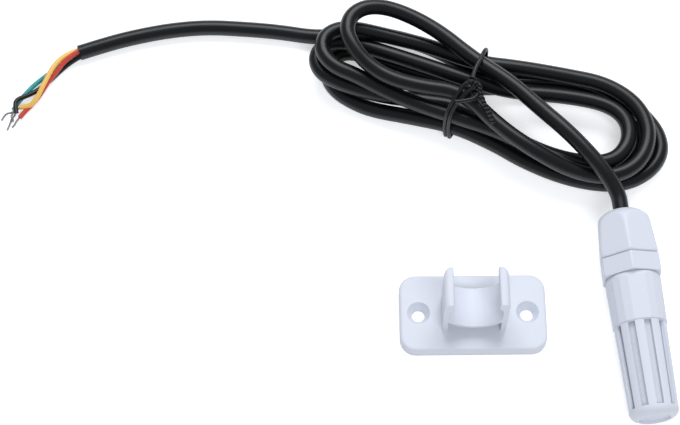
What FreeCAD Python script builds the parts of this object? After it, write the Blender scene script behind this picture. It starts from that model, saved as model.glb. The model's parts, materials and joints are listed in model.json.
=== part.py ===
"""Wired temperature and humidity probe: a slotted sensor housing on a cable gland, one metre of
round cable tied up in a hank with stripped cores at its free end, and a loose clip bracket.

Millimetres. The origin is the middle of the bracket's back face, on the surface that everything
lies on. +X runs along the bracket's two screw holes, +Y points to the hank and +Z points up.
"""

import FreeCAD, Part
import math
import os
import re

import Sketcher
from FreeCAD import Placement, Rotation, Vector

# Driving dimensions, in millimetres and degrees. Each becomes a cell of the sheet.
SIZES = {
    # Bracket
    "plate_length": 40.5,
    "plate_width": 22.5,
    "plate_thickness": 3.5,
    "plate_corner": 4.5,
    "plate_edge_round": 0.9,
    "screw_spacing": 30.0,
    "screw_hole": 3.7,
    "screw_sink": 6.4,
    "screw_sink_depth": 2.0,
    "clip_depth": 11.2,
    "clip_base_width": 17.3,
    "clip_top_width": 17.6,
    "clip_wall": 1.4,
    "clip_height": 18.6,
    "clip_mouth": 12.2,
    "clip_seat_lift": 3.5,
    "clip_seat_wall": 1.0,
    "clip_jaw_height": 4.6,
    "clip_tip_round": 1.3,
    "clip_heel_width": 1.6,
    "clip_heel_length": 2.4,
    # Lie of the probe: its place, heading and the turn of its hexagons and slots
    "probe_x": 42.05,
    "probe_y": 26.7,
    "probe_yaw": 5.0,
    "hex_roll": -6.0,
    "slot_roll": 7.2,
    # Cable
    "cable_diameter": 4.5,
    "core_diameter": 1.2,
    "core_circle": 0.8,
    "strand_diameter": 0.6,
    # Gland nut
    "nut_length": 14.0,
    "nut_across": 15.8,
    "nut_draft": 4.5,
    "nut_mouth": 8.4,
    "nut_shoulder": 16.0,
    "nut_shoulder_at": 4.4,
    "nut_dome_radius": 5.2,
    "nut_base_chamfer": 0.5,
    "nut_bore_clearance": 0.4,
    "nut_cap": 2.2,
    "nut_gap": 0.25,
    # Gland body
    "flange_across": 15.7,
    "flange_length": 5.3,
    "hex_corner_cut": 0.15,
    "thread_diameter": 11.8,
    "thread_clearance": 0.2,
    "thread_length": 8.0,
    "thread_pitch": 1.5,
    "claw_diameter": 10.3,
    "claw_start": 3.7,
    "claw_length": 4.2,
    "claw_slot": 0.9,
    "claw_count": 8,
    "seal_diameter": 8.4,
    "seal_length": 5.0,
    "seal_clearance": 0.1,
    "washer_thickness": 0.5,
    "gland_bore": 6.0,
    "potting_bore": 9.2,
    "potting_depth": 5.6,
    "o_ring_section": 1.1,
    "o_ring_clearance": 0.1,
    # Housing
    "housing_length": 39.9,
    "housing_gap": 0.15,
    "mouth_diameter": 14.9,
    "lead_in": 1.5,
    "barrel_diameter": 15.5,
    "barrel_end_diameter": 15.0,
    "barrel_length": 13.6,
    "barrel_sides": 20,
    "cage_diameter": 14.4,
    "cage_end_diameter": 13.5,
    "cage_end_round": 2.3,
    "slot_count": 10,
    "slot_width": 2.0,
    "slot_length": 23.5,
    "cage_wall": 1.05,
    "tip_wall": 1.4,
    "recess_diameter": 8.6,
    "recess_depth": 0.6,
    # Filter sleeve
    "filter_clearance": 0.15,
    "filter_wall": 0.6,
    "filter_setback": 1.2,
    # Sensor board
    "board_width": 6.2,
    "board_thickness": 1.0,
    "board_length": 32.0,
    "board_drop": 2.35,
    "jacket_overhang": 0.6,
    "core_free_length": 4.6,
    "solder_length": 1.3,
    # Twist tie
    "tie_diameter": 1.2,
}

document = FreeCAD.newDocument("environment_probe")
sheet = document.addObject("Spreadsheet::Sheet", "Sizes")
for row, (alias, value) in enumerate(SIZES.items(), start=1):
    sheet.set(f"A{row}", alias)
    sheet.set(f"B{row}", str(value))
    sheet.setAlias(f"B{row}", alias)
document.recompute()

# Stations along the probe's axis, from the nut's mouth towards the tip.
FLANGE_START = "(nut_length + nut_gap)"
FLANGE_END = "(nut_length + nut_gap + flange_length)"
HOUSING_START = "(nut_length + nut_gap + flange_length + housing_gap)"
CAGE_START = "(nut_length + nut_gap + flange_length + housing_gap + barrel_length)"
TIP = "(nut_length + nut_gap + flange_length + housing_gap + housing_length)"
THREAD_END = "(nut_length + nut_gap + flange_length + thread_length)"
POTTING_START = "(nut_length + nut_gap + flange_length + thread_length - potting_depth)"
JACKET_END = "(nut_length + nut_gap + flange_length + thread_length + jacket_overhang)"
SEAL_START = "(nut_cap + washer_thickness + seal_clearance)"
SEAL_END = "(nut_cap + washer_thickness + 2 * seal_clearance + seal_length)"
CAVITY_END = "(nut_length + nut_gap + flange_length + housing_gap + housing_length - recess_depth - tip_wall)"
THREAD_BORE = "(thread_diameter / 2 + thread_clearance)"
CORNER_REACH = "(flange_across / 2 / cos(30) - hex_corner_cut)"
CAGE_BORE = "(cage_end_diameter / 2 - cage_wall)"
BARREL_BORE = "(cage_diameter / 2 - cage_wall)"


def cells(text):
    """A formula with each size named as a cell of the sheet."""
    return re.sub(r"[a-z][a-z_]*\b(?!\()", lambda word: f"Sizes.{word.group(0)}", text)


def size(text):
    """The value of a formula of sizes."""
    return float(sheet.evalExpression(cells(text)))


def bind(item, **formulas):
    """Bind an object's properties to formulas of sizes."""
    for name, text in formulas.items():
        item.setExpression(name.replace("__", "."), cells(text))
    return item


def add(kind, name, **formulas):
    return bind(document.addObject(kind, name), **formulas)


def boolean(kind, name, *items):
    """Cut, fuse or intersect objects of the document."""
    if kind == "Cut":
        result = document.addObject("Part::Cut", name)
        result.Base, result.Tool = items
    else:
        result = document.addObject(f"Part::Multi{kind}", name)
        result.Shapes = list(items)
    return result


def arc_between(start, end, radius):
    """The arc of a radius from start to end. It bulges to the right of the way, or with a negative
    radius to the left."""
    half = (end - start) / 2
    height = math.sqrt(max(radius * radius - half.Length**2, 0.0))
    left = Vector(-half.y, half.x, 0).normalize()
    side = 1 if radius > 0 else -1
    centre = start + half + left * height * side
    circle = Part.Circle(centre, Vector(0, 0, 1), abs(radius))
    first, last = (start, end) if radius > 0 else (end, start)
    angle = math.atan2(first.y - centre.y, first.x - centre.x)
    final = math.atan2(last.y - centre.y, last.x - centre.x)
    return Part.ArcOfCircle(circle, angle, final)


def outline(sketch, corners):
    """Draw a closed outline and fix it. A corner is (x, y), or (x, y, radius) where an arc of that
    radius runs to the next corner: formulas of sizes, all of them."""
    points = [Vector(size(corner[0]), size(corner[1]), 0) for corner in corners]
    ends = []
    for index, corner in enumerate(corners):
        start, end = points[index], points[(index + 1) % len(points)]
        if len(corner) == 3:
            radius = size(corner[2])
            side = sketch.addGeometry(arc_between(start, end, radius))
            ends.append((side, 1, 2) if radius > 0 else (side, 2, 1))
            fixed = sketch.addConstraint(Sketcher.Constraint("Radius", side, abs(radius)))
            sketch.setExpression(f"Constraints[{fixed}]", cells(f"abs({corner[2]})"))
        else:
            side = sketch.addGeometry(Part.LineSegment(start, end))
            ends.append((side, 1, 2))
    for index, corner in enumerate(corners):
        side, start, _ = ends[index]
        before, _, end = ends[index - 1]
        sketch.addConstraint(Sketcher.Constraint("Coincident", before, end, side, start))
        for axis, text, value in (
            ("DistanceX", corner[0], points[index].x),
            ("DistanceY", corner[1], points[index].y),
        ):
            fixed = sketch.addConstraint(Sketcher.Constraint(axis, -1, 1, side, start, value))
            sketch.setExpression(f"Constraints[{fixed}]", cells(text))


def polygon(sides, radius, roll):
    """The corners of a regular outline. The roll is that of one corner, from +Y towards +X."""
    return [
        (f"{radius} * sin({roll} + {k} * 360 / {sides})", f"{radius} * cos({roll} + {k} * 360 / {sides})")
        for k in range(round(size(str(sides))))
    ]


def loose_sketch(name, corners, upright=True):
    """A sketch of its own. Upright, its x is a radius and its y is the way along local Z."""
    sketch = document.addObject("Sketcher::SketchObject", name)
    outline(sketch, corners)
    if upright:
        sketch.Placement = Placement(Vector(), Rotation(Vector(1, 0, 0), 90))
    return sketch


def turned(name, corners):
    """A solid turned about local Z from its outline of (radius, station) corners."""
    item = document.addObject("Part::Revolution", name)
    item.Source = loose_sketch(f"{name}_outline", corners)
    item.Axis = Vector(0, 0, 1)
    item.Base = Vector(0, 0, 0)
    item.Angle = 360
    item.Solid = True
    return item


def prism(name, corners, start, length, draft="0"):
    """A prism along local Z, drawn in by the draft angle towards its far end."""
    item = document.addObject("Part::Extrusion", name)
    item.Base = loose_sketch(f"{name}_outline", corners, upright=False)
    item.DirMode = "Custom"
    item.Dir = Vector(0, 0, 1)
    item.Solid = True
    bind(item, LengthFwd=length)
    item.TaperAngle = -size(draft)
    bind(item, TaperAngle=f"-1 * {draft}")
    bind(item, Placement__Base__z=start)
    return item


def cylinder(name, diameter, start, length):
    return add(
        "Part::Cylinder",
        name,
        Radius=f"{diameter} / 2",
        Height=length,
        Placement__Base__z=start,
    )


def block(name, low, extent):
    """A box from its low corner and its extent, as formulas."""
    return add(
        "Part::Box",
        name,
        Length=extent[0],
        Width=extent[1],
        Height=extent[2],
        Placement__Base__x=low[0],
        Placement__Base__y=low[1],
        Placement__Base__z=low[2],
    )


def ring_of(name, item, count, first="0"):
    """Copies of an object about local Z, fused."""
    copies = []
    for k in range(round(size(count))):
        copy = document.addObject("Part::Feature", f"{name}_{k + 1}")
        document.recompute()
        shape = item.Shape.copy()
        shape.rotate(Vector(0, 0, 0), Vector(0, 0, 1), -(size(first) + k * 360 / round(size(count))))
        copy.Shape = shape
        copies.append(copy)
    return boolean("Fuse", name, *copies)


NODES = {}


def node(name, item, placement=None):
    """Name a finished piece and give it its place."""
    item.Label = name
    NODES[name] = (item, placement or Placement())
    return item


def feature(name, shape, placement=None):
    item = document.addObject("Part::Feature", name)
    item.Shape = shape
    return node(name, item, placement)


# The probe lies on the flange's lowest hexagon corner and on the rim of its cage.
def probe_placement():
    """Local Z runs from the nut's mouth to the tip, and local +Y is up."""
    corner_turns = [size("hex_roll") + 60 * k for k in range(6)]
    off_lowest = math.radians(min(abs((turn % 360) - 180) for turn in corner_turns))
    corner = size(CORNER_REACH)
    half_corner = math.pi / 6 - math.acos(size("flange_across") / 2 / corner)
    flange_reach = corner * math.cos(off_lowest - half_corner)
    flange_station = size(FLANGE_END)
    rim_reach = size("cage_end_diameter") / 2
    rim_station = size(TIP) - size("cage_end_round")
    pitch = math.atan((flange_reach - rim_reach) / (rim_station - flange_station))
    yaw = math.radians(size("probe_yaw"))
    along = Vector(
        math.sin(yaw) * math.cos(pitch), -math.cos(yaw) * math.cos(pitch), -math.sin(pitch)
    )
    across = Vector(math.cos(yaw), math.sin(yaw), 0)
    up = along.cross(across)
    rise = flange_reach * math.cos(pitch) + flange_station * math.sin(pitch)
    seat = Vector(size("probe_x"), size("probe_y"), rise + 0.02)
    return Placement(seat, Rotation(across, up, along, "ZXY"))


PROBE = probe_placement()


def spun(roll):
    """The probe's placement with local +Y turned from up towards +X by a roll."""
    return PROBE.multiply(Placement(Vector(), Rotation(Vector(0, 0, 1), -size(roll))))


# Gland nut: a drafted hexagon whose flats fade into a dome, over a coned seat and a thread bore.
def gland_nut():
    corner_radius = "(nut_across / 2 / cos(30))"
    hexagon = prism(
        "nut_hexagon", polygon(6, corner_radius, "hex_roll"), "nut_length", "nut_length", "nut_draft"
    )
    hexagon.Dir = Vector(0, 0, -1)
    dome = turned(
        "nut_dome",
        [
            ("0", "0"),
            ("nut_mouth / 2", "0", "nut_dome_radius"),
            ("nut_shoulder / 2", "nut_shoulder_at"),
            (f"{CORNER_REACH} - 0.1", "nut_length - nut_base_chamfer - 2"),
            (CORNER_REACH, "nut_length - nut_base_chamfer"),
            (f"{CORNER_REACH} - nut_base_chamfer", "nut_length"),
            ("0", "nut_length"),
        ],
    )
    bore = "(cable_diameter / 2 + nut_bore_clearance)"
    cavity = turned(
        "nut_cavity",
        [
            ("0", "0 - 1"),
            (bore, "0 - 1"),
            (bore, "nut_cap"),
            ("seal_diameter / 2 + seal_clearance", "nut_cap"),
            ("claw_diameter / 2 - 0.2", "claw_start - 0.3"),
            (THREAD_BORE, "claw_start + claw_length * 0.5"),
            (THREAD_BORE, "nut_length + 1"),
            ("0", "nut_length + 1"),
        ],
    )
    blank = boolean("Common", "nut_blank", hexagon, dome)
    node("gland_nut", boolean("Cut", "gland_nut", blank, cavity), PROBE)


# Gland body: hexagon flange, a thread on both sides of it and a ring of claws round the seal.
def gland_body():
    flange = prism(
        "flange_hexagon", polygon(6, "(flange_across / 2 / cos(30))", "hex_roll"), FLANGE_START, "flange_length"
    )
    rounding = cylinder(
        "flange_rounding", f"(2 * {CORNER_REACH})", FLANGE_START, "flange_length"
    )
    neck = turned(
        "gland_core",
        [
            ("gland_bore / 2", SEAL_END),
            ("seal_diameter / 2 + seal_clearance", SEAL_END),
            ("seal_diameter / 2 + seal_clearance", "claw_start"),
            ("claw_diameter / 2 - 0.4", "claw_start"),
            ("claw_diameter / 2", "claw_start + 0.8"),
            ("claw_diameter / 2", "claw_start + claw_length"),
            ("thread_diameter / 2", "claw_start + claw_length + 0.6"),
            ("thread_diameter / 2", THREAD_END),
            ("potting_bore / 2", THREAD_END),
            ("potting_bore / 2", POTTING_START),
            ("gland_bore / 2", POTTING_START),
        ],
    )
    flange_solid = boolean("Common", "flange_solid", flange, rounding)
    bore = cylinder("flange_bore", "gland_bore", FLANGE_START, "flange_length")
    ring = boolean("Cut", "flange_ring", flange_solid, bore)
    slot = block(
        "claw_slot_cutter",
        ("0 - claw_slot / 2", "seal_diameter / 2 - 0.5", "claw_start - 1"),
        ("claw_slot", "3", "claw_length + 1"),
    )
    slots = ring_of("claw_slots", slot, "claw_count", "22.5")
    pocket = cylinder("potting_pocket", "potting_bore", POTTING_START, f"({THREAD_END} - {POTTING_START} + 1)")
    whole = boolean("Fuse", "gland_solid", neck, ring)
    slotted = boolean("Cut", "gland_slotted", whole, slots)
    node("gland_body", boolean("Cut", "gland_body", slotted, pocket), PROBE)


def gland_trim():
    """Slip washer, compression seal and the sealing ring between flange and housing."""
    washer = cylinder("washer_disc", "(seal_diameter - 0.1)", "nut_cap + 0.05", "washer_thickness")
    hole = cylinder("washer_hole", "(cable_diameter + 2 * nut_bore_clearance)", "nut_cap", "washer_thickness + 0.2")
    node("gland_washer", boolean("Cut", "gland_washer", washer, hole), PROBE)
    seal = cylinder("seal_plug", "seal_diameter", SEAL_START, "seal_length")
    cable = cylinder("seal_hole", "(cable_diameter + 0.1)", SEAL_START, "seal_length")
    node("gland_seal", boolean("Cut", "gland_seal", seal, cable), PROBE)
    ring = add(
        "Part::Torus",
        "housing_o_ring",
        Radius1="thread_diameter / 2 + o_ring_clearance + o_ring_section / 2",
        Radius2="o_ring_section / 2",
        Placement__Base__z=f"{HOUSING_START} + o_ring_section / 2 + o_ring_clearance",
    )
    node("housing_o_ring", ring, PROBE)


# Housing: one moulding. Its barrel is a drafted many-sided prism, its cage has open slots.
def plane(body, role):
    return next(item for item in body.Origin.OriginFeatures if item.Role == role)


def attached(body, name, role, corners, offset="0"):
    sketch = body.newObject("Sketcher::SketchObject", name)
    sketch.AttachmentSupport = [(plane(body, role), "")]
    sketch.MapMode = "FlatFace"
    outline(sketch, corners)
    if offset != "0":
        bind(sketch, AttachmentOffset__Base__z=offset)
    return sketch


def vented_housing():
    body = document.addObject("PartDesign::Body", "vented_housing")
    draft = "(atan((barrel_diameter - barrel_end_diameter) / 2 / barrel_length))"
    barrel = body.newObject("PartDesign::Pad", "barrel")
    barrel.Profile = attached(
        body,
        "barrel_outline",
        "XY_Plane",
        polygon("barrel_sides", "(barrel_diameter / 2)", "180 / barrel_sides"),
        HOUSING_START,
    )
    bind(barrel, Length="barrel_length")
    barrel.TaperAngle = -size(draft)
    bind(barrel, TaperAngle=f"-1 * {draft}")
    cage = body.newObject("PartDesign::Revolution", "cage")
    cage.Profile = attached(
        body,
        "cage_outline",
        "XZ_Plane",
        [
            ("0", f"{CAGE_START} - 1"),
            ("cage_diameter / 2", f"{CAGE_START} - 1"),
            ("cage_diameter / 2", CAGE_START),
            ("cage_end_diameter / 2", f"{TIP} - cage_end_round", "cage_end_round"),
            ("cage_end_diameter / 2 - cage_end_round", TIP),
            ("recess_diameter / 2", TIP),
            ("recess_diameter / 2", f"{TIP} - recess_depth"),
            ("0", f"{TIP} - recess_depth"),
        ],
    )
    cage.ReferenceAxis = (cage.Profile[0], ["V_Axis"])
    cavity = body.newObject("PartDesign::Groove", "cavity")
    ring_room = "(thread_diameter / 2 + 2 * o_ring_clearance + o_ring_section)"
    cavity.Profile = attached(
        body,
        "cavity_outline",
        "XZ_Plane",
        [
            ("0", f"{HOUSING_START} - 1"),
            (ring_room, f"{HOUSING_START} - 1"),
            (ring_room, f"{HOUSING_START} + o_ring_section + 2 * o_ring_clearance"),
            (THREAD_BORE, f"{HOUSING_START} + o_ring_section + 2 * o_ring_clearance"),
            (THREAD_BORE, f"{THREAD_END} + thread_pitch"),
            (BARREL_BORE, f"{THREAD_END} + 2 * thread_pitch"),
            (BARREL_BORE, CAGE_START),
            (CAGE_BORE, CAVITY_END),
            ("0", CAVITY_END),
        ],
    )
    cavity.ReferenceAxis = (cavity.Profile[0], ["V_Axis"])
    mouth = body.newObject("PartDesign::Groove", "mouth_lead_in")
    mouth.Profile = attached(
        body,
        "mouth_outline",
        "XZ_Plane",
        [
            ("mouth_diameter / 2", f"{HOUSING_START} - 1"),
            ("barrel_diameter / 2 + 2", f"{HOUSING_START} - 1"),
            ("barrel_diameter / 2 + 2", f"{HOUSING_START} + lead_in"),
            ("barrel_diameter / 2", f"{HOUSING_START} + lead_in"),
            ("mouth_diameter / 2", HOUSING_START),
        ],
    )
    mouth.ReferenceAxis = (mouth.Profile[0], ["V_Axis"])
    slot = body.newObject("PartDesign::Pocket", "slot")
    slot.Profile = attached(
        body,
        "slot_outline",
        "XZ_Plane",
        [
            ("0 - slot_width / 2", f"{CAGE_START} + 0.3"),
            ("slot_width / 2", f"{CAGE_START} + 0.3"),
            ("slot_width / 2", f"{CAGE_START} + 0.3 + slot_length"),
            ("0 - slot_width / 2", f"{CAGE_START} + 0.3 + slot_length"),
        ],
    )
    slot.Type = "Length"
    bind(slot, Length="barrel_diameter")
    ring = body.newObject("PartDesign::PolarPattern", "slots")
    ring.Originals = [slot]
    ring.Axis = (plane(body, "Z_Axis"), [""])
    ring.Angle = 360
    bind(ring, Occurrences="slot_count")
    body.Tip = ring
    node("vented_housing", body, spun("slot_roll"))
    sleeve = turned(
        "filter_sleeve",
        [
            (f"{BARREL_BORE} - filter_clearance - filter_wall", f"{CAGE_START} + filter_setback"),
            (f"{BARREL_BORE} - filter_clearance", f"{CAGE_START} + filter_setback"),
            (f"{CAGE_BORE} - filter_clearance", f"{CAVITY_END} - 0.1"),
            (f"{CAGE_BORE} - filter_clearance - filter_wall", f"{CAVITY_END} - 0.1"),
        ],
    )
    node("filter_sleeve", sleeve, PROBE)


# Sensor board and what is soldered to it. The board hangs below the cable's jacket.
BOARD_TOP = "(0 - board_drop)"
BOARD_START = f"({POTTING_START} + 1.5)"
CHIPS = {
    # name: (across, station from the board's start, width, length, height)
    "regulator_chip": (0.0, 14.2, 2.9, 1.6, 1.1),
    "controller_chip": (0.0, 18.6, 4.0, 4.0, 0.9),
    "sensor_chip": (0.0, 28.0, 2.5, 2.5, 0.9),
}
PASSIVES = [(-2.0, 23.6), (0.0, 23.6), (2.0, 23.6), (-2.2, 12.6), (2.2, 12.6), (-1.6, 25.6), (1.6, 25.6)]
PASSIVE = (1.0, 0.6, 0.5)


def sensor_board():
    board = block(
        "sensor_board",
        ("0 - board_width / 2", f"{BOARD_TOP} - board_thickness", BOARD_START),
        ("board_width", "board_thickness", "board_length"),
    )
    node("sensor_board", board, PROBE)
    top, start = size(BOARD_TOP), size(BOARD_START)
    for name, (across, station, width, length, height) in CHIPS.items():
        chip = Part.makeBox(width, height, length, Vector(across - width / 2, top, start + station - length / 2))
        edges = [edge for edge in chip.Edges if abs(edge.CenterOfMass.y - top - height) < 1e-6]
        feature(name, chip.makeChamfer(0.12, edges), PROBE)
    parts = []
    for across, station in PASSIVES:
        width, length, height = PASSIVE
        low = Vector(across - width / 2, top, start + station - length / 2)
        parts.append(Part.makeBox(width, height, length, low))
    feature("board_passives", Part.makeCompound(parts), PROBE)


CORES = ("red", "black", "yellow", "green")


def tube(points, diameter, share=0.45, largest=1e6):
    """A tube along straight runs joined by tangent arcs, as large as the runs and a limit allow."""
    edges = []
    radii = []
    here = points[0]
    for index in range(1, len(points) - 1):
        before, corner, after = points[index - 1], points[index], points[index + 1]
        into, out = (corner - before), (after - corner)
        shorter = min(into.Length, out.Length)
        into.normalize()
        out.normalize()
        half_turn = into.getAngle(out) / 2
        radius = min(share * shorter / math.tan(half_turn), largest)
        reach = radius * math.tan(half_turn)
        radii.append(radius)
        start, end = corner - into * reach, corner + out * reach
        inward = (out - into).normalize()
        depth = radius / math.cos(half_turn) - radius
        edges.append(Part.LineSegment(here, start).toShape())
        edges.append(Part.Arc(start, corner + inward * depth, end).toShape())
        here = end
    edges.append(Part.LineSegment(here, points[-1]).toShape())
    path = Part.Wire(edges)
    way = (points[1] - points[0]).normalize()
    profile = Part.Wire(Part.Circle(points[0], way, diameter / 2).toShape())
    solid = path.makePipeShell([profile], True, False)
    return solid, path, radii


LEAD_START = 2.0


def board_wiring():
    """The jacket inside the gland, its four cores down to the board and their solder."""
    jacket = cylinder("cable_tail", "cable_diameter", str(LEAD_START), f"({JACKET_END} - {LEAD_START})")
    node("cable_tail", jacket, PROBE)
    mass = cylinder("potting_mass", "(potting_bore - 0.06)", f"{POTTING_START} + 0.03", "potting_depth - 0.03")
    hole = cylinder("potting_hole", "cable_diameter", POTTING_START, "potting_depth + 1")
    tail = block(
        "potting_slot",
        ("0 - board_width / 2", f"{BOARD_TOP} - board_thickness", BOARD_START),
        ("board_width", "board_thickness", "board_length"),
    )
    bored = boolean("Cut", "potting_bored", mass, hole)
    node("potting_plug", boolean("Cut", "potting_plug", bored, tail), PROBE)
    core = size("core_diameter")
    circle = size("core_circle")
    floor = size(BOARD_TOP) + core / 2 + 0.03
    start, length = size(JACKET_END), size("core_free_length")
    spread = (-0.75, 0.75, -2.25, 2.25)
    solder = []
    for k, name in enumerate(CORES):
        side = -1 if k % 2 == 0 else 1
        level = -1 if k < 2 else 1
        wide = abs(spread[k]) > 1
        points = [
            Vector(side * circle, level * circle, start),
            Vector(side * circle, level * circle, start + 0.2 * length),
            Vector(spread[k], floor, start + (0.82 if wide else 0.66) * length),
            Vector(spread[k], floor, start + length),
        ]
        if wide:
            points.insert(2, Vector(side * 2.15, 0.3, start + 0.45 * length))
        solid, _, _ = tube(points, core, 0.3)
        feature(f"board_core_{name}", solid, PROBE)
        middle = Vector(spread[k], size(BOARD_TOP), start + length + size("solder_length") / 2)
        mound = Part.makeSphere(size("solder_length") / 2 - 0.02, middle, Vector(0, 1, 0), 0, 90, 360)
        solder.append(mound)
    feature("solder_joints", Part.makeCompound(solder), PROBE)


# Cable. The route runs from the probe to the hank, round its loops and out to the free end.
def world(point):
    return PROBE.multVec(point)


EXIT_RUN = 5.2
HANK_RUN = 7.0
LEAD_ROUTE = [
    # (x, y, z) of the corners between the nut and the hank
    (38.0, 41.2, 13.6),
    (29.8, 49.9, 14.2),
]
FREE_ROUTE = [
    # From the hank to the stripped end
    (-63.4, 91.7, 2.3),
    (-74.4, 92.1, 2.3),
    (-84.6, 91.3, 2.3),
    (-94.0, 89.5, 2.3),
    (-103.4, 87.0, 2.3),
    (-112.3, 83.8, 2.3),
]

# Hank. Levels are heights of the cable's centre: on the floor, on that layer, and over both.
LEVEL_STEP = 5.0
FIRST_LEVEL = 2.3
TIE_CENTRE = Vector(0.3, 67.1, 0)
RIGHT_WAY = -19.0
LEFT_WAY = 163.1
SHOULDER = 13.0
SHOULDER_SHARE = 0.5
WAIST_STEP = 6.1
WAIST_LIFT = 1.4
# Each end loop is half an ellipse: (how far from the tie its middle is, side shift, half width, depth)
RIGHT_LOOPS = [(42.6, 1.0, 15.2, 15.2), (40.4, 1.0, 10.1, 10.1), (38.9, -0.8, 9.5, 9.5), (38.9, -0.5, 14.8, 14.8)]
LEFT_LOOPS = [(21.0, -0.6, 9.7, 22.2), (27.0, -0.6, 4.3, 4.3), (36.9, 4.0, 6.8, 6.8), (30.5, 9.3, 7.7, 7.7)]
# Steps from the waist's middle of the strands that run out to the right, and of those that come back
OUT_STEPS = [1.5, 0.5, 0.5, 1.5]
BACK_STEPS = [-1.5, -0.5, -1.5, -0.5]
OUT_LEVELS = [0, 0, 1, 1]
RIGHT_LEVELS = [(0, 0), (0, 0), (1, 1), (1, 1)]
BACK_LEVELS = [0, 0, 1, 2]
LEFT_LEVELS = [(0, 0), (0, 0), (1, 1), (2, 2)]
HANK_START = [(46.9, 9.2, -7.0, 0), (38.3, 12.3, -3.0, 0), (27.0, 15.1, -15.5, 0), (13.0, 13.1, -19.5, 1)]
# The last lower run climbs over the one inside it before it reaches the tie
CLIMBS = {3: (24.5, -14.1, 152.0, 2.08)}
HANK_END = Vector(12.6, 66.6, 0)
HANK_END_WAY = -43.0
TOP_STEP = 1.38


def side_frame(way):
    """The way out along the hank's side, and the way towards its upper strands."""
    out = Vector(math.cos(math.radians(way)), math.sin(math.radians(way)), 0)
    up = Vector(0, 0, 1).cross(out)
    return out, up if up.y > 0 else up * -1


def level(index):
    return FIRST_LEVEL + LEVEL_STEP * index


def at_side(way, along, across, height):
    out, up = side_frame(way)
    point = TIE_CENTRE + out * along + up * across
    return Vector(point.x, point.y, height)


def end_loop(way, loop, levels, upper_first):
    """Points and ways of travel round an end loop, every 45 degrees. It may climb on its second half."""
    centre, shift, half_width, depth = loop
    out, up = side_frame(way)
    nodes = []
    for turn in (90, 45, 0, -45, -90):
        angle = math.radians(turn if upper_first else -turn)
        climb = max(-turn, 0) / 90 * (levels[1] - levels[0])
        height = level(levels[0] + climb)
        point = at_side(way, centre + depth * math.cos(angle), shift + half_width * math.sin(angle), height)
        heading = out * (depth * math.sin(angle)) - up * (half_width * math.cos(angle))
        heading = heading if upper_first else heading * -1
        nodes.append((point, heading.normalize()))
    return nodes


def shoulder(way, step, loop, upper, height, outward):
    """The point where a strand leaves the pinch of the tie on its way to or from an end loop."""
    centre, shift, half_width, _ = loop
    waist = step * WAIST_STEP
    edge = shift + (half_width if upper else -half_width)
    across = waist + SHOULDER_SHARE * (edge - waist)
    out, up = side_frame(way)
    heading = (out * centre + up * (edge - waist)).normalize()
    return at_side(way, SHOULDER, across, height + WAIST_LIFT), heading if outward else heading * -1


def hank_nodes():
    """Points and ways of travel of the whole hank, from the free end's side to the probe's side."""
    right, _ = side_frame(RIGHT_WAY)
    nodes = [
        (at_side(LEFT_WAY, along, across, level(0) + lift * WAIST_LIFT), heading_of(turn))
        for along, across, turn, lift in HANK_START
    ]
    for k in range(len(RIGHT_LOOPS)):
        waist = OUT_STEPS[k] * WAIST_STEP
        if k:
            nodes.append(shoulder(LEFT_WAY, OUT_STEPS[k], LEFT_LOOPS[k - 1], True, level(OUT_LEVELS[k]), False))
        nodes.append((at_side(RIGHT_WAY, 0, waist, level(OUT_LEVELS[k]) + WAIST_LIFT), right))
        nodes.append(shoulder(RIGHT_WAY, OUT_STEPS[k], RIGHT_LOOPS[k], True, level(OUT_LEVELS[k]), True))
        nodes += end_loop(RIGHT_WAY, RIGHT_LOOPS[k], RIGHT_LEVELS[k], True)
        if k in CLIMBS:
            along, across, turn, climb = CLIMBS[k]
            nodes.append((at_side(RIGHT_WAY, along, across, level(climb)), heading_of(turn)))
        nodes.append(shoulder(RIGHT_WAY, BACK_STEPS[k], RIGHT_LOOPS[k], False, level(BACK_LEVELS[k]), False))
        waist = BACK_STEPS[k] * WAIST_STEP
        nodes.append((at_side(RIGHT_WAY, 0, waist, level(BACK_LEVELS[k]) + WAIST_LIFT), right * -1))
        nodes.append(shoulder(LEFT_WAY, BACK_STEPS[k], LEFT_LOOPS[k], False, level(BACK_LEVELS[k]), True))
        nodes += end_loop(LEFT_WAY, LEFT_LOOPS[k], LEFT_LEVELS[k], False)
    nodes.append((at_side(LEFT_WAY, SHOULDER, 14.6, level(2) + WAIST_LIFT), heading_of(-36.0)))
    nodes.append((at_side(RIGHT_WAY, 0, TOP_STEP * WAIST_STEP, level(2) + WAIST_LIFT), heading_of(-41.0)))
    nodes.append((Vector(HANK_END.x, HANK_END.y, level(2) + WAIST_LIFT), heading_of(HANK_END_WAY)))
    return nodes


def heading_of(degrees):
    return Vector(math.cos(math.radians(degrees)), math.sin(math.radians(degrees)), 0)


def biarc(start, way, end, end_way):
    """Two tangent arcs from a point and way to the next, as edges."""
    chord = end - start
    both = way + end_way
    spread = 2 * (1 - way.dot(end_way))
    if spread < 1e-9 and abs(chord.getAngle(way)) < 1e-6:
        return [Part.LineSegment(start, end).toShape()]
    if spread < 1e-9:
        reach = chord.Length**2 / (4 * chord.dot(end_way))
    else:
        lean = chord.dot(both)
        reach = (-lean + math.sqrt(lean * lean + spread * chord.dot(chord))) / spread
    first, last = start + way * reach, end - end_way * reach
    middle = (first + last) * 0.5
    return [arc_from(start, way, middle), arc_from(end, end_way * -1, middle, True)]


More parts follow.
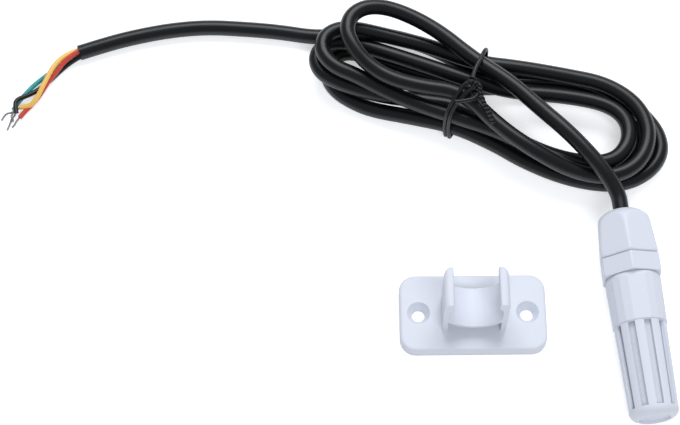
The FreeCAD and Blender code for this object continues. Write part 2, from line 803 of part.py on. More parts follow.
def arc_from(start, way, end, backwards=False):
    """The arc that leaves start along way and reaches end."""
    chord = end - start
    if way.getAngle(chord) < 1e-5:
        line = (end, start) if backwards else (start, end)
        return Part.LineSegment(*line).toShape()
    normal = way.cross(chord).normalize()
    inward = normal.cross(way).normalize()
    radius = chord.dot(chord) / (2 * chord.dot(inward))
    centre = start + inward * radius
    bulge = ((start + end) * 0.5 - centre).normalize()
    if way.getAngle(chord) > math.pi / 2:
        bulge = bulge * -1
    middle = centre + bulge * radius
    ends = (end, middle, start) if backwards else (start, middle, end)
    return Part.Arc(*ends).toShape()


def hank_path():
    diameter = size("cable_diameter")
    nodes = hank_nodes()
    first, way = nodes[0]
    edges = [Part.LineSegment(first - way * diameter, first).toShape()]
    for (start, out), (end, into) in zip(nodes, nodes[1:]):
        edges += biarc(start, out, end, into)
    last, way = nodes[-1]
    edges.append(Part.LineSegment(last, last + way * diameter).toShape())
    return Part.Wire(edges)


def least_gap(path, diameter, step=1.0):
    """The least gap of a tube to itself, away from its own bends."""
    points = path.discretize(Number=int(path.Length / step))
    apart = int(2.2 * diameter / step)
    least = 1e9
    for i, here in enumerate(points):
        for there in points[i + apart :]:
            least = min(least, (here - there).Length)
    return least - diameter


def cable():
    diameter = size("cable_diameter")
    path = hank_path()
    begin, end = path.Edges[0].Vertexes[0].Point, path.Edges[-1].Vertexes[-1].Point
    profile = Part.Wire(Part.Circle(begin, hank_nodes()[0][1], diameter / 2).toShape())
    hank = path.makePipeShell([profile], True, False)
    feature("cable_hank", hank)
    print(f"hank: length {path.Length:.1f}, least gap to itself {least_gap(path, diameter):.2f}")
    ratio = hank.Volume / (math.pi * diameter**2 / 4 * path.Length)
    print(f"hank: volume over section times length {ratio:.4f}")
    total = path.Length
    lead = [world(Vector(0, 0, LEAD_START)), world(Vector(0, 0, -EXIT_RUN))]
    lead += [Vector(*point) for point in LEAD_ROUTE]
    lead += [end + heading_of(HANK_END_WAY) * HANK_RUN, end]
    free = [begin, begin - heading_of(HANK_START[0][2]) * HANK_RUN]
    free += [Vector(*point) for point in FREE_ROUTE]
    for name, points in (("cable_lead", lead), ("cable_free_end", free)):
        solid, path, radii = tube(points, diameter)
        feature(name, solid)
        total += path.Length
        ratio = solid.Volume / (math.pi * diameter**2 / 4 * path.Length)
        print(f"{name}: length {path.Length:.1f}, least radius {min(radii):.1f}, volume ratio {ratio:.4f}")
    print(f"cable outside the gland: {total:.1f}")
    return free[-2:]


# Stripped cores: (x, y, z) of the corners after each leaves the jacket, then of its bare strand.
CORE_ROUTES = {
    "red": [
        (-114.5, 82.3, 3.0), (-117.0, 80.1, 2.6), (-119.0, 77.4, 2.2), (-120.8, 72.5, 1.7),
        (-124.4, 67.0, 1.1), (-127.0, 65.3, 0.8), (-128.6, 63.2, 0.7),
    ],
    "yellow": [
        (-115.6, 83.3, 2.6), (-118.8, 80.2, 3.2), (-120.3, 76.9, 3.3), (-121.9, 74.1, 3.2),
        (-123.7, 70.7, 2.6), (-125.0, 68.9, 2.3), (-127.1, 67.3, 1.6), (-128.7, 66.0, 1.1),
    ],
    "green": [
        (-115.7, 82.8, 0.9), (-118.6, 80.4, 0.65), (-121.6, 77.3, 0.65), (-124.8, 74.1, 0.65),
        (-127.5, 71.2, 0.65), (-129.5, 68.1, 0.65), (-130.6, 65.8, 0.65),
    ],
    "black": [
        (-115.3, 80.7, 0.9), (-117.5, 78.8, 0.65), (-120.4, 76.3, 0.65), (-122.9, 73.8, 0.65),
        (-124.8, 71.6, 0.7), (-127.7, 68.9, 1.95), (-129.4, 67.4, 2.1), (-129.9, 64.6, 1.9),
    ],
}
STRAND_ROUTES = {
    "red": [(-129.9, 61.9, 0.5), (-130.9, 60.6, 0.35)],
    "yellow": [(-130.1, 64.9, 0.7), (-131.4, 63.6, 0.35)],
    "green": [(-132.2, 64.4, 0.4), (-133.8, 62.8, 0.35)],
    "black": [(-130.8, 62.2, 1.2), (-132.1, 59.4, 0.35)],
}
# Where each core leaves the jacket's end: degrees from the side that faces the bracket, upwards
CORE_PLACES = {"red": 90, "black": 0, "yellow": 180, "green": 270}


def cores(jacket_end):
    """Each core leaves the jacket's end face, runs on and ends in a bare twisted strand."""
    before, face = jacket_end
    way = (face - before).normalize()
    side = Vector(-way.y, way.x, 0)
    circle = size("core_circle") * math.sqrt(2)
    for name, route in CORE_ROUTES.items():
        turn = math.radians(CORE_PLACES[name])
        start = face + (side * math.cos(turn) + Vector(0, 0, 1) * math.sin(turn)) * circle
        points = [start, start + way * 1.6] + [Vector(*point) for point in route]
        solid, _, _ = tube(points, size("core_diameter"))
        feature(f"lead_{name}", solid)
        run = (points[-1] - points[-2]).normalize()
        ends = [points[-1], points[-1] + run * 0.7]
        ends += [Vector(*point) for point in STRAND_ROUTES[name]]
        strand, _, _ = tube(ends, size("strand_diameter"))
        feature(f"strand_{name}", strand)


# Bracket: screw plate with a spring clip. The clip's seat is an arc over an open gap.
def bracket():
    body = document.addObject("PartDesign::Body", "bracket")
    plate = body.newObject("PartDesign::Pad", "plate")
    half_x, half_y = "(plate_length / 2)", "(plate_width / 2)"
    corner = "plate_corner"
    plate.Profile = attached(
        body,
        "plate_outline",
        "XY_Plane",
        [
            (f"0 - {half_x} + {corner}", f"0 - {half_y}"),
            (f"{half_x} - {corner}", f"0 - {half_y}", corner),
            (half_x, f"0 - {half_y} + {corner}"),
            (half_x, f"{half_y} - {corner}", corner),
            (f"{half_x} - {corner}", half_y),
            (f"0 - {half_x} + {corner}", half_y, corner),
            (f"0 - {half_x}", f"{half_y} - {corner}"),
            (f"0 - {half_x}", f"0 - {half_y} + {corner}", corner),
        ],
    )
    bind(plate, Length="plate_thickness")
    document.recompute()
    rim = [
        f"Edge{k + 1}"
        for k, edge in enumerate(plate.Shape.Edges)
        if all(abs(vertex.Z - size("plate_thickness")) < 1e-6 for vertex in edge.Vertexes)
    ]
    rounding = body.newObject("PartDesign::Fillet", "plate_rim")
    rounding.Base = (plate, rim)
    bind(rounding, Radius="plate_edge_round")
    document.recompute()
    screw = body.newObject("PartDesign::Groove", "screw_hole")
    middle = "(screw_spacing / 2)"
    screw.Profile = attached(
        body,
        "screw_outline",
        "XZ_Plane",
        [
            (middle, "0 - 1"),
            (f"{middle} + screw_hole / 2", "0 - 1"),
            (f"{middle} + screw_hole / 2", "plate_thickness - screw_sink_depth"),
            (f"{middle} + screw_sink / 2", "plate_thickness"),
            (f"{middle} + screw_sink / 2", "plate_thickness + 1"),
            (middle, "plate_thickness + 1"),
        ],
    )
    screw.ReferenceAxis = (screw.Profile[0], ["Edge6"])
    mirrored = body.newObject("PartDesign::Mirrored", "screw_holes")
    mirrored.Originals = [screw]
    mirrored.MirrorPlane = (plane(body, "YZ_Plane"), [""])
    body.Tip = mirrored
    document.recompute()
    base, top = "(clip_base_width / 2)", "(clip_top_width / 2)"
    seat_radius = "(barrel_diameter / 2)"
    seat_height = f"(plate_thickness + clip_seat_lift + {seat_radius})"
    inner = f"({base} - clip_wall)"
    seat_edge = f"({seat_height} - sqrt({seat_radius}^2 - {inner}^2))"
    under_radius = f"({seat_radius} + clip_seat_wall)"
    under_edge = f"({seat_height} - sqrt({under_radius}^2 - {inner}^2))"
    crown = "(plate_thickness + clip_height)"
    mouth = "(clip_mouth / 2)"
    jaw = f"({crown} - clip_jaw_height)"
    foot = "(plate_thickness - 0.5)"
    tip = "clip_tip_round"
    clip = body.newObject("PartDesign::Pad", "clip")
    clip.Profile = attached(
        body,
        "clip_outline",
        "XZ_Plane",
        [
            (f"0 - {base}", foot),
            (base, foot),
            (top, f"{crown} - {tip}", tip),
            (f"{top} - {tip}", crown),
            (f"{mouth} + 0.6", crown, "0.6 + 0"),
            (mouth, f"{crown} - 0.6"),
            (mouth, f"{jaw} + 1.6"),
            (inner, jaw),
            (inner, seat_edge, f"0 - {seat_radius}"),
            (f"0 - {inner}", seat_edge),
            (f"0 - {inner}", jaw),
            (f"0 - {mouth}", f"{jaw} + 1.6"),
            (f"0 - {mouth}", f"{crown} - 0.6", "0.6 + 0"),
            (f"0 - {mouth} - 0.6", crown),
            (f"0 - {top} + {tip}", crown, tip),
            (f"0 - {top}", f"{crown} - {tip}"),
        ],
    )
    bind(clip, Length="clip_depth")
    clip.Midplane = True
    body.Tip = clip
    document.recompute()
    gap = body.newObject("PartDesign::Pocket", "seat_gap")
    gap.Profile = attached(
        body,
        "gap_outline",
        "XZ_Plane",
        [
            (f"0 - {inner}", "plate_thickness"),
            (inner, "plate_thickness"),
            (inner, under_edge, f"0 - {under_radius}"),
            (f"0 - {inner}", under_edge),
        ],
    )
    bind(gap, Length="clip_depth + 2")
    gap.Midplane = True
    body.Tip = gap
    document.recompute()
    back = "(clip_depth / 2)"
    heel = body.newObject("PartDesign::Pocket", "arm_heel")
    heel.Profile = attached(
        body,
        "heel_outline",
        "XY_Plane",
        [
            (f"{top} + 1", f"{back} - clip_heel_length"),
            (f"{top} + 1", f"{back} + 1"),
            (f"{top} - clip_heel_width", f"{back} + 1"),
            (f"{top} - clip_heel_width", back, "0 - clip_heel_length - 0.2"),
            (top, f"{back} - clip_heel_length"),
        ],
        "plate_thickness",
    )
    bind(heel, Length="clip_height + 1")
    heel.Reversed = True
    body.Tip = heel
    document.recompute()
    heels = body.newObject("PartDesign::Mirrored", "arm_heels")
    heels.Originals = [heel]
    heels.MirrorPlane = (plane(body, "YZ_Plane"), [""])
    body.Tip = heels
    node("bracket", body)


# Twist tie: coated wire once round the waist of the hank. Its two ends cross in a knot on top.
# The corners are (across the hank, along it, height), measured from the waist's middle.
TIE_WAY = 62.5
TIE_BEND = 3.0
TIE_ROUTE = [
    (-9.6, 11.2, 16.9),
    (-6.2, 7.6, 17.4),
    (-3.0, 5.2, 17.4),
    (-0.6, 2.2, 17.0),
    (3.4, 0.9, 16.7),
    (11.2, 0.6, 16.8),
    (12.6, 0.5, 8.9),
    (12.6, 0.3, 0.65),
    (-12.5, -0.2, 0.65),
    (-12.5, -0.3, 10.1),
    (-4.4, 0.0, 16.9),
    (-0.4, 0.8, 18.4),
    (0.6, 3.9, 18.7),
    (-2.9, 7.0, 18.7),
    (-6.2, 4.6, 17.4),
    (-8.4, 1.0, 14.9),
]


def tie_points():
    across = heading_of(TIE_WAY)
    along = heading_of(TIE_WAY - 90)
    return [TIE_CENTRE + across * a + along * b + Vector(0, 0, z) for a, b, z in TIE_ROUTE]


def twist_tie():
    solid, path, radii = tube(tie_points(), size("tie_diameter"), 0.45, TIE_BEND)
    feature("twist_tie", solid)
    print(f"twist_tie: length {path.Length:.1f}, least radius {min(radii):.1f}")


def build():
    gland_nut()
    gland_body()
    gland_trim()
    vented_housing()
    sensor_board()
    board_wiring()
    jacket_end = cable()
    cores(jacket_end)
    twist_tie()
    bracket()
    document.recompute()


def export():
    """Check every object and piece, then write one file for each piece."""
    for item in document.Objects:
        broken = [state for state in item.State if state in ("Invalid", "Error")]
        if broken:
            raise RuntimeError(f"{item.Name}: {item.getStatusString()}")
    os.makedirs("parts", exist_ok=True)
    for name, (item, placement) in NODES.items():
        shape = item.Shape.copy()
        if shape.isNull() or not shape.isValid() or not shape.Solids:
            raise RuntimeError(f"{name} has no valid solid")
        shape.Placement = placement.multiply(shape.Placement)
        shape.exportStep(f"parts/{name}.step")
        box = shape.optimalBoundingBox(False, False)
        print(f"{name}: {len(shape.Solids)} solids, {shape.Volume:.1f} mm3, lowest {box.ZMin:.2f}")


build()
export()
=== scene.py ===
"""Wired environment probe with its cable tied in a hank, stripped leads and a clip bracket,
set out on white as in the photograph. Metres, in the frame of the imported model."""

import bpy
import json
import math
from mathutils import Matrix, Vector


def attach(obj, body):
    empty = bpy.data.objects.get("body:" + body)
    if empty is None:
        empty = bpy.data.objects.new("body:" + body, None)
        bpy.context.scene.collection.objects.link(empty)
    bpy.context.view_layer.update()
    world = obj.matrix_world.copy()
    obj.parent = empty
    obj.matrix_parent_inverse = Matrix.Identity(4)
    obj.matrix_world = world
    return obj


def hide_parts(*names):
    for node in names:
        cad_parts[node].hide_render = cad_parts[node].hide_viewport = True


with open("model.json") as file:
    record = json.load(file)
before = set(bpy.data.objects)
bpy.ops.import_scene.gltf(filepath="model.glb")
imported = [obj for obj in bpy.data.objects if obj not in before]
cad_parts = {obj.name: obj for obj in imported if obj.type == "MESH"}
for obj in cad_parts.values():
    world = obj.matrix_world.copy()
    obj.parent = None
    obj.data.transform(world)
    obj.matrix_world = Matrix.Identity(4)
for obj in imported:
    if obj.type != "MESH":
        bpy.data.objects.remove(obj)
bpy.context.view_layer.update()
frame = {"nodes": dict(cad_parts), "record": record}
nodes = frame["nodes"]
scene = bpy.context.scene
MM = 0.001

# Camera, fitted to the photograph: lens in millimetres, place in metres, turns in degrees
SENSOR_WIDTH = 36
LENS = 104.82
CAMERA_PLACE = (-0.0389, -0.2052, 0.5095)
CAMERA_TILT = 25
CAMERA_PAN = -0.63


def put(name, data):
    """A new object of the scene."""
    item = bpy.data.objects.new(name, data)
    scene.collection.objects.link(item)
    return item


camera_data = bpy.data.cameras.new("camera")
camera_data.sensor_width = SENSOR_WIDTH
camera_data.lens = LENS
camera = put("camera", camera_data)
camera.location = CAMERA_PLACE
camera.rotation_euler = (math.radians(CAMERA_TILT), 0, math.radians(CAMERA_PAN))
scene.camera = camera


# Cable
def curve(name, lines, radius, resolution=8, bevel=8):
    """Smooth round strands by their control points in millimetres; a fourth number thins a point."""
    data = bpy.data.curves.new(name, "CURVE")
    data.dimensions = "3D"
    for places in lines:
        line = data.splines.new("NURBS")
        line.points.add(len(places) - 1)
        for point, place in zip(line.points, places):
            point.co = (place[0] * MM, place[1] * MM, place[2] * MM, 1)
            point.radius = radius * MM * (place[3] if len(place) > 3 else 1)
        line.order_u = 3
        line.use_endpoint_u = True
        line.resolution_u = resolution
    data.bevel_depth = 1
    data.bevel_resolution = bevel
    data.use_fill_caps = True
    return put(name, data)


# The cable's diameter, the tie's place and the ways from it along the hank to the right and the left
CABLE = 4.5
TIE_CENTRE = (0.3, 67.1)
RIGHT_WAY = -19.0
LEFT_WAY = 163.1

# Where each turn passes under the tie, on its way to the right and back: across the hank, and height
OUT_ACROSS = [9.1, 3.1, 3.1, 9.1]
OUT_HEIGHTS = [3.7, 3.7, 8.7, 8.7]
BACK_ACROSS = [-9.9, -3.1, -9.5, -3.8]
BACK_HEIGHTS = [3.7, 3.7, 8.7, 13.7]

# Control points of each end loop: along from the tie, across, height. On the right they run from the
# upper strand to the lower one, on the left from the lower to the upper.
RIGHT_LOOPS = [
    [
        (13, 13.2, 3.5), (24, 16.2, 2.3), (34, 17.4, 2.3), (43, 15.1, 2.3), (50.5, 11.4, 2.3),
        (56.0, 7.0, 2.3), (58.6, 1.4, 2.3), (57.2, -5.0, 2.3), (52.2, -11.0, 2.3), (44.5, -14.2, 2.3),
        (33.4, -15.2, 2.3), (21.4, -13.8, 2.5), (13, -11.9, 3.5),
    ],
    [
        (13, 7.9, 3.5), (30, 13.2, 2.3), (41.0, 11.4, 2.3), (48.2, 7.2, 2.3), (51.3, 1.0, 2.3),
        (48.8, -5.9, 2.3), (41.5, -10.4, 2.3), (28, -10.8, 2.3), (13, -7.4, 3.5),
    ],
    [
        (13, 3.3, 8.5), (27, 7.5, 7.3), (39.5, 8.9, 7.3), (46.5, 5.9, 7.3), (49.1, -0.9, 7.3),
        (46.8, -7.9, 7.3), (39.5, -11.5, 7.3), (27, -12.3, 7.3), (13, -9.8, 8.5),
    ],
    [
        (13, 11.7, 8.5), (26, 14.0, 7.3), (38, 15.1, 7.3), (48.6, 11.2, 7.3), (54.2, 3.0, 7.3),
        (53.6, -6.8, 7.3), (47.0, -13.6, 7.3), (36.5, -15.8, 8.6), (24.5, -14.8, 12.4), (13, -11.1, 13.3),
    ],
]
LEFT_LOOPS = [
    [
        (13, -10.5, 3.5), (24.9, -10.9, 2.3), (31.4, -9.8, 2.3), (36.3, -8.0, 2.3), (39.8, -4.9, 2.3),
        (41.4, -0.4, 2.3), (39.8, 4.0, 2.3), (34.9, 6.3, 2.3), (25, 4.8, 2.3), (13, 3.7, 3.5),
    ],
    [
        (13, -4.9, 4.0), (22, -6.9, 5.0), (30, -7.9, 7.1), (36.8, -7.4, 7.4), (41.8, -5.8, 7.3),
        (44.6, -2.2, 7.3), (44.2, 2.0, 7.3), (41.0, 5.2, 7.3), (35.8, 6.4, 7.3), (25, 5.8, 7.3),
        (13, 4.4, 8.4),
    ],
    [
        (13, -8.6, 8.6), (22.9, -7.4, 9.8), (31, -6.2, 11.9), (37.6, -5.4, 12.0), (42.4, -2.2, 12.0),
        (43.7, 2.5, 12.0), (41.1, 6.6, 12.0), (36.0, 8.7, 11.6), (26, 10.4, 9.0), (13, 10.8, 8.5),
    ],
    [
        (13, -5.6, 13.7), (22.4, -5.3, 13.9), (29, -3.2, 15.0), (33.8, 0.1, 16.4), (37.2, 4.4, 16.8),
        (37.3, 10.0, 16.8), (33.2, 14.5, 16.4), (25.5, 16.5, 14.6), (13, 14.1, 13.5),
    ],
]
HANK_START = [(46.4, 7.8, 2.3), (38.3, 11.9, 2.3), (27.0, 14.6, 2.3), (13.0, 13.3, 3.5)]
LAST_PASS = (0, 7.5, 13.2)
HANK_END = (12.6, 66.6, 13.7)


def at_side(way, along, across, height):
    """A point beside the tie: along the way out from it, and across that, upwards in the picture."""
    turn = math.radians(way)
    side = 1 if math.cos(turn) > 0 else -1
    return (
        TIE_CENTRE[0] + along * math.cos(turn) - side * across * math.sin(turn),
        TIE_CENTRE[1] + along * math.sin(turn) + side * across * math.cos(turn),
        height,
    )


def hank():
    """The hank's control points, from the free end's side to the probe's side."""
    points = [at_side(LEFT_WAY, *place) for place in HANK_START]
    for k in range(4):
        points.append(at_side(RIGHT_WAY, 0, OUT_ACROSS[k], OUT_HEIGHTS[k]))
        points += [at_side(RIGHT_WAY, *place) for place in RIGHT_LOOPS[k]]
        points.append(at_side(RIGHT_WAY, 0, BACK_ACROSS[k], BACK_HEIGHTS[k]))
        points += [at_side(LEFT_WAY, *place) for place in LEFT_LOOPS[k]]
    points.append(at_side(RIGHT_WAY, *LAST_PASS))
    points.append(HANK_END)
    return points


# The cable from inside the nut to the hank, and from the hank to its stripped end
LEAD = [
    (42.224, 24.711, 9.888), (41.93, 27.9, 10.07), (41.52, 32.6, 10.34), (37.3, 39.2, 12.9),
    (29.0, 49.3, 14.2), (20.4, 58.3, 13.7),
]
FREE = [
    (-53.9, 90.3, 2.3), (-63.4, 91.3, 2.3), (-74.4, 92.1, 2.3), (-84.6, 91.3, 2.3), (-94.0, 89.5, 2.3),
    (-103.4, 87.0, 2.3), (-112.3, 83.8, 2.3),
]
cable = curve("cable", [LEAD + hank()[::-1] + FREE], CABLE / 2, resolution=10, bevel=10)
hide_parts("cable_lead", "cable_hank", "cable_free_end")
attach(cable, "gland")

# Stripped cores from the jacket's end on, and the bare strands at their ends
CORE_RADIUS = 0.7
STRAND_RADIUS = 0.29
CORES = {
    "red": [
        (-110.9, 84.3, 3.4), (-112.6, 83.7, 3.4), (-115.3, 81.7, 3.1), (-117.0, 80.0, 2.7),
        (-118.1, 78.4, 2.4), (-119.2, 76.9, 2.1), (-120.7, 75.0, 1.9), (-122.0, 72.5, 1.8),
        (-123.6, 69.7, 1.4), (-125.7, 67.1, 1.1), (-127.4, 65.4, 0.8), (-128.8, 63.4, 0.72),
    ],
    "yellow": [
        (-111.2, 85.3, 2.3), (-112.9, 84.6, 2.4), (-115.6, 83.1, 2.9), (-117.9, 81.0, 3.3),
        (-119.5, 78.5, 3.6), (-120.5, 76.4, 3.6), (-121.4, 74.3, 3.5), (-122.3, 72.2, 3.4),
        (-123.1, 70.3, 3.0), (-124.2, 68.3, 2.5), (-125.5, 67.0, 1.9), (-127.1, 66.6, 1.5),
        (-128.9, 66.4, 1.3),
    ],
    "green": [
        (-110.9, 84.3, 1.2), (-112.8, 83.6, 1.1), (-116.5, 81.6, 0.9), (-120.2, 78.4, 0.8),
        (-121.9, 77.1, 0.72), (-125.1, 74.2, 0.72), (-126.9, 72.0, 0.72), (-128.4, 70.0, 0.72),
        (-130.0, 67.8, 0.72), (-130.7, 65.9, 0.72),
    ],
    "black": [
        (-110.6, 83.2, 2.3), (-112.2, 82.6, 2.1), (-115.6, 80.7, 1.1), (-118.3, 78.2, 0.72),
        (-120.7, 75.4, 0.72), (-123.1, 73.2, 0.72), (-124.9, 71.6, 0.9), (-127.2, 70.0, 1.6),
        (-129.9, 68.6, 2.0), (-130.2, 66.5, 2.0), (-129.7, 64.4, 1.9),
    ],
}
STRANDS = {
    "red": [
        (-128.4, 64.0, 0.72), (-129.1, 63.1, 0.6), (-129.9, 62.1, 0.45), (-130.2, 61.1, 0.35),
        (-131.0, 60.4, 0.3),
    ],
    "yellow": [
        (-128.3, 66.5, 1.3), (-129.8, 65.9, 1.1), (-131.2, 64.9, 0.8), (-132.6, 64.9, 0.6),
        (-133.6, 63.9, 0.4), (-134.1, 62.7, 0.3),
    ],
    "green": [
        (-130.6, 66.2, 0.65), (-130.9, 65.0, 0.6), (-131.4, 63.8, 0.5), (-130.7, 63.0, 0.4),
        (-130.9, 62.2, 0.3),
    ],
    "black": [
        (-129.8, 64.9, 1.9), (-130.0, 63.8, 1.5), (-131.2, 62.9, 0.8), (-131.5, 61.5, 0.5),
        (-132.3, 59.5, 0.3),
    ],
}
on_cable = []
for color in CORES:
    core = curve(f"core_{color}", [CORES[color]], CORE_RADIUS)
    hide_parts(f"lead_{color}")
    bare = curve(f"bare_{color}", [STRANDS[color]], STRAND_RADIUS, bevel=4)
    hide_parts(f"strand_{color}")
    on_cable += [core, bare]

# Twist tie: a coated wire once round the hank's waist, wound on itself in the knot
TIE_RADIUS = 0.6
TIE_WAY = math.radians(62.5)
BAND = [
    (-3.0, 2.2, 18.4), (-1.3, 2.1, 17.7), (0.8, 1.4, 17.2), (3.4, 1.0, 16.9), (6.2, 1.0, 16.6),
    (9.9, 0.7, 16.0), (12.0, 0.6, 13.6), (12.6, 0.5, 9.0), (12.6, 0.3, 0.65), (-12.6, 0.2, 0.65),
    (-12.9, -0.2, 3.0), (-12.4, -0.8, 6.5), (-11.7, -0.9, 10.5), (-9.8, -1.0, 13.0),
    (-7.8, -0.2, 15.4), (-5.9, 0.2, 16.9), (-3.8, 0.4, 17.8), (-2.4, 1.6, 18.5),
]
SECOND = [
    (6.0, 1.3, 0.65), (-12.6, 1.4, 0.65), (-13.0, 1.0, 3.0), (-12.5, 0.4, 6.5), (-11.8, 0.3, 10.5),
    (-9.9, 0.2, 13.0), (-7.9, 1.0, 15.4), (-6.2, 1.8, 16.9), (-4.6, 2.8, 17.8), (-2.6, 3.4, 18.5),
]
TWIST = [
    (-3.6, 1.2, 18.0), (-2.4, 2.4, 18.7), (-2.3, 4.6, 18.8), (-4.3, 5.9, 18.3), (-6.3, 8.0, 17.5),
    (-8.1, 10.5, 16.7), (-9.5, 12.5, 15.9), (-10.1, 13.2, 15.5),
]
KNOT = [(-1.0, 2.0, 17.9), (-2.4, 2.2, 18.4), (-3.4, 3.0, 18.5)]
TAIL = [(-3.4, 5.6, 18.0), (-5.6, 5.4, 17.6), (-7.4, 4.0, 17.4), (-9.3, 0.6, 16.9)]

# The winding of the twisted tail and of the knot: how far off its path, and how far on at each turn
TWIST_REACH = 0.38
TWIST_PITCH = 2.4
KNOT_REACH = 0.95
KNOT_PITCH = 1.3
POINTS_PER_TURN = 12
WOUND_THINNING = 0.65


def on_tie(across, along, height):
    """A point in the tie's own directions: across the hank, along it, height."""
    return Vector((
        TIE_CENTRE[0] + across * math.cos(TIE_WAY) + along * math.sin(TIE_WAY),
        TIE_CENTRE[1] + across * math.sin(TIE_WAY) - along * math.cos(TIE_WAY),
        height,
    ))


def wound(path, reach, pitch, start):
    """Control points of a thin wire that winds round a path."""
    gone = 0.0
    points = []
    for a, b in zip(path, path[1:]):
        way = (b - a).normalized()
        side = way.cross(Vector((0, 0, 1))).normalized()
        up = side.cross(way)
        count = max(1, round((b - a).length / pitch * POINTS_PER_TURN))
        for k in range(count):
            turn = start + 2 * math.pi * gone / pitch
            place = a.lerp(b, k / count) + (side * math.cos(turn) + up * math.sin(turn)) * reach
            points.append((*place, WOUND_THINNING))
            gone += (b - a).length / count
    return points


twist = [on_tie(*place) for place in TWIST]
knot = [on_tie(*place) for place in KNOT]
bands = [[on_tie(*place) for place in line] for line in (BAND, SECOND, TAIL)]
windings = [wound(twist, TWIST_REACH, TWIST_PITCH, phase) for phase in (0.0, math.pi)]
windings.append(wound(knot, KNOT_REACH, KNOT_PITCH, 0.0))
tie = curve("tie", bands + windings, TIE_RADIUS, resolution=6, bevel=6)
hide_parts("twist_tie")
on_cable.append(tie)
for piece in on_cable:
    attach(piece, "gland")


# Materials: the size of the broad patches and the relief's depth in millimetres, the gloss's range
PATCH = 9.0
RELIEF = 0.1
GLOSS_LEAST = 0.86
GLOSS_MOST = 1.14


def add(tree, kind, **values):
    """A node of a tree, with its sockets set by name."""
    node = tree.nodes.new(kind)
    for key, value in values.items():
        node.inputs[key].default_value = value
    return node


def noise(tree, place, size, detail=3.0):
    """Soft random grain, its size in millimetres."""
    node = add(tree, "ShaderNodeTexNoise", Scale=1 / (size * MM), Detail=detail)
    tree.links.new(place, node.inputs["Vector"])
    return node.outputs[0]


def material(name, color, rough, grain=0.35, tone=0.03, bump=0.05, **more):
    """Moulded or drawn stuff: fine grain in colour and relief, broad patches in its gloss."""
    item = bpy.data.materials.new(name)
    item.use_nodes = True
    tree = item.node_tree
    shader = tree.nodes["Principled BSDF"]
    for key, value in more.items():
        shader.inputs[key.replace("_", " ")].default_value = value
    place = tree.nodes.new("ShaderNodeTexCoord").outputs["Object"]
    fine = noise(tree, place, grain)
    broad = noise(tree, place, PATCH)
    tint = tree.nodes.new("ShaderNodeMix")
    tint.data_type = "RGBA"
    tint.inputs["A"].default_value = (*(v * (1 - tone) for v in color), 1)
    tint.inputs["B"].default_value = (*(v * (1 + tone) for v in color), 1)
    tree.links.new(fine, tint.inputs["Factor"])
    tree.links.new(tint.outputs["Result"], shader.inputs["Base Color"])
    gloss = add(tree, "ShaderNodeMapRange")
    gloss.inputs["To Min"].default_value = rough * GLOSS_LEAST
    gloss.inputs["To Max"].default_value = rough * GLOSS_MOST
    tree.links.new(broad, gloss.inputs["Value"])
    tree.links.new(gloss.outputs["Result"], shader.inputs["Roughness"])
    relief = add(tree, "ShaderNodeBump", Strength=bump, Distance=RELIEF * MM)
    tree.links.new(fine, relief.inputs["Height"])
    tree.links.new(relief.outputs["Normal"], shader.inputs["Normal"])
    return item


LOOKS = {
    "shell_white": material(
        "shell_white", (0.72, 0.74, 0.81), 0.45, grain=0.30, tone=0.012, bump=0.05, Specular_IOR_Level=0.3
    ),
    "seal_rubber": material("seal_rubber", (0.03, 0.03, 0.032), 0.6),
    "washer_plastic": material("washer_plastic", (0.7, 0.72, 0.75), 0.4),
    "filter_felt": material("filter_felt", (0.62, 0.64, 0.70), 0.9, grain=0.5, tone=0.10, bump=0.6),
    "potting": material("potting", (0.5, 0.51, 0.55), 0.35),
    "cable_jacket": material(
        "cable_jacket", (0.004, 0.004, 0.005), 0.35, grain=0.25, tone=0.2, bump=0.06, Specular_IOR_Level=0.42
    ),
    "board_green": material("board_green", (0.015, 0.13, 0.05), 0.35),
    "chip_metal": material("chip_metal", (0.65, 0.65, 0.67), 0.3, Metallic=1.0),
    "chip_black": material("chip_black", (0.02, 0.02, 0.022), 0.5),
    "passive_tan": material("passive_tan", (0.35, 0.24, 0.13), 0.5),
    "tinned_metal": material("tinned_metal", (0.42, 0.40, 0.40), 0.4, tone=0.1, Metallic=1.0),
    "core_red": material("core_red", (0.60, 0.06, 0.04), 0.34),
    "core_black": material("core_black", (0.006, 0.006, 0.006), 0.4),
    "core_yellow": material("core_yellow", (0.90, 0.55, 0.12), 0.34),
    "core_green": material("core_green", (0.03, 0.33, 0.33), 0.34),
    "tie_coat": material("tie_coat", (0.006, 0.006, 0.007), 0.4, tone=0.2),
}
for entry in frame["record"]["subparts"]:
    item = nodes[entry["node"]]
    item.data.materials.clear()
    item.data.materials.append(LOOKS[entry["material_slot"]])
cable.data.materials.append(LOOKS["cable_jacket"])
tie.data.materials.append(LOOKS["tie_coat"])
for color in CORES:
    bpy.data.objects[f"core_{color}"].data.materials.append(LOOKS[f"core_{color}"])
    bpy.data.objects[f"bare_{color}"].data.materials.append(LOOKS["tinned_metal"])

# Felt collar on the filter sleeve, up to the slots' ends, in the probe's own line. Its section is
# given as the distance from the probe's line and along it.
PROBE_START = Vector((42.05, 26.7, 10.0014518))
PROBE_WAY = Vector((0.08701611, -0.99459863, -0.05658406)).normalized()
COLLAR_SECTION = [(5.4, 32.6), (6.0, 32.6), (6.0, 34.6), (5.4, 34.6)]
COLLAR_SIDES = 48


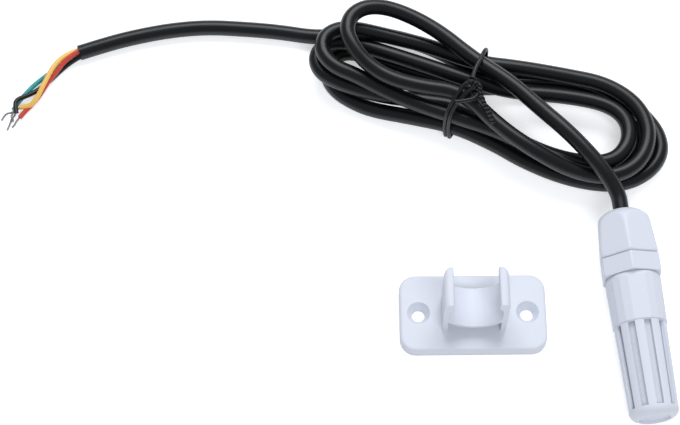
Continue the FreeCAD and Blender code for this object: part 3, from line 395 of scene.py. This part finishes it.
def filter_collar():
    """A ring of the section's four corners, turned round the probe's line."""
    turned = PROBE_WAY.to_track_quat("Z", "Y")
    corners = []
    faces = []
    for k in range(COLLAR_SIDES):
        turn = 2 * math.pi * k / COLLAR_SIDES
        outwards = Vector((math.cos(turn), math.sin(turn), 0))
        here = 4 * k
        ahead = 4 * ((k + 1) % COLLAR_SIDES)
        for j, (reach, station) in enumerate(COLLAR_SECTION):
            beside = (j + 1) % 4
            corners.append((PROBE_START + PROBE_WAY * station + turned @ (outwards * reach)) * MM)
            faces.append((here + j, here + beside, ahead + beside, ahead + j))
    data = bpy.data.meshes.new("filter_collar")
    data.from_pydata(corners, [], faces)
    data.materials.append(LOOKS["filter_felt"])
    return put("filter_collar", data)


collar = filter_collar()
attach(collar, "housing")

# Softened edges, as moulded: the width of each piece's bevel, and the nut's even mesh
SOFT_EDGES = {"gland_body": 0.5, "vented_housing": 0.2, "bracket": 0.4}
SOFT_ANGLE = 32
NUT_MESH = 0.25
NUT_ROUNDS = 16
for name, width in SOFT_EDGES.items():
    item = nodes[name]
    weld = item.modifiers.new("weld", "WELD")
    weld.merge_threshold = 0.002 * MM
    bevel = item.modifiers.new("soft_edges", "BEVEL")
    bevel.width = width * MM
    bevel.segments = 3
    bevel.limit_method = "ANGLE"
    bevel.angle_limit = math.radians(SOFT_ANGLE)
    bevel.harden_normals = True
remesh = nodes["gland_nut"].modifiers.new("even", "REMESH")
remesh.mode = "VOXEL"
remesh.voxel_size = NUT_MESH * MM
remesh.use_smooth_shade = True
soft = nodes["gland_nut"].modifiers.new("soft_edges", "SMOOTH")
soft.factor = 0.5
soft.iterations = NUT_ROUNDS

# Floor and light
FLOOR_REACH = 3.0
FLOOR_DROP = 0.05
FLOOR_GLOW = 0.5
AIR_LIGHT = 0.34


def floor_look():
    """Pale matt stuff that glows a little for the camera and in what mirrors it."""
    pale = bpy.data.materials.new("floor")
    pale.use_nodes = True
    tree = pale.node_tree
    tree.nodes.clear()
    rays = tree.nodes.new("ShaderNodeLightPath")
    matt = add(tree, "ShaderNodeBsdfDiffuse", Color=(0.86, 0.87, 0.88, 1))
    glow = add(tree, "ShaderNodeEmission", Color=(1, 1, 1, 1), Strength=FLOOR_GLOW)
    both = tree.nodes.new("ShaderNodeAddShader")
    seen = tree.nodes.new("ShaderNodeMixShader")
    mirrored = tree.nodes.new("ShaderNodeMath")
    mirrored.operation = "MAXIMUM"
    either = tree.nodes.new("ShaderNodeMath")
    either.operation = "MAXIMUM"
    out = tree.nodes.new("ShaderNodeOutputMaterial")
    links = [
        (rays.outputs["Is Camera Ray"], mirrored.inputs[0]),
        (rays.outputs["Is Glossy Ray"], mirrored.inputs[1]),
        (mirrored.outputs[0], either.inputs[0]),
        (rays.outputs["Is Transmission Ray"], either.inputs[1]),
        (matt.outputs[0], both.inputs[0]),
        (glow.outputs[0], both.inputs[1]),
        (either.outputs[0], seen.inputs[0]),
        (matt.outputs[0], seen.inputs[1]),
        (both.outputs[0], seen.inputs[2]),
        (seen.outputs[0], out.inputs[0]),
    ]
    for start, end in links:
        tree.links.new(start, end)
    return pale


floor_data = bpy.data.meshes.new("floor")
floor_corners = [(x * FLOOR_REACH, y * FLOOR_REACH, 0) for x, y in ((-1, -1), (1, -1), (1, 1), (-1, 1))]
floor_data.from_pydata(floor_corners, [], [(0, 1, 2, 3)])
floor_data.materials.append(floor_look())
floor = put("floor", floor_data)
floor.location.z = -FLOOR_DROP * MM

world = bpy.data.worlds.new("studio")
world.use_nodes = True
air = world.node_tree.nodes["Background"]
air.inputs["Color"].default_value = (0.90, 0.94, 1.0, 1)
air.inputs["Strength"].default_value = AIR_LIGHT
scene.world = world


def area(name, place, aim, width, height, power, shine=True):
    """A soft box that looks from its place at an aim, mirrored in gloss or not."""
    data = bpy.data.lights.new(name, "AREA")
    data.shape = "RECTANGLE"
    data.size = width
    data.size_y = height
    data.energy = power
    data.color = (0.94, 0.97, 1.0)
    item = put(name, data)
    item.visible_glossy = shine
    item.location = place
    item.rotation_euler = (Vector(aim) - Vector(place)).to_track_quat("-Z", "Y").to_euler()


area("softbox_far", (0.02, 0.46, 0.56), (0, 0.05, 0), 0.55, 0.40, 3.4)
area("softbox_near", (0.10, -0.50, 0.70), (0, 0.02, 0), 0.45, 0.30, 3.1, shine=False)

scene.view_settings.view_transform = "Standard"
bpy.context.view_layer.update()
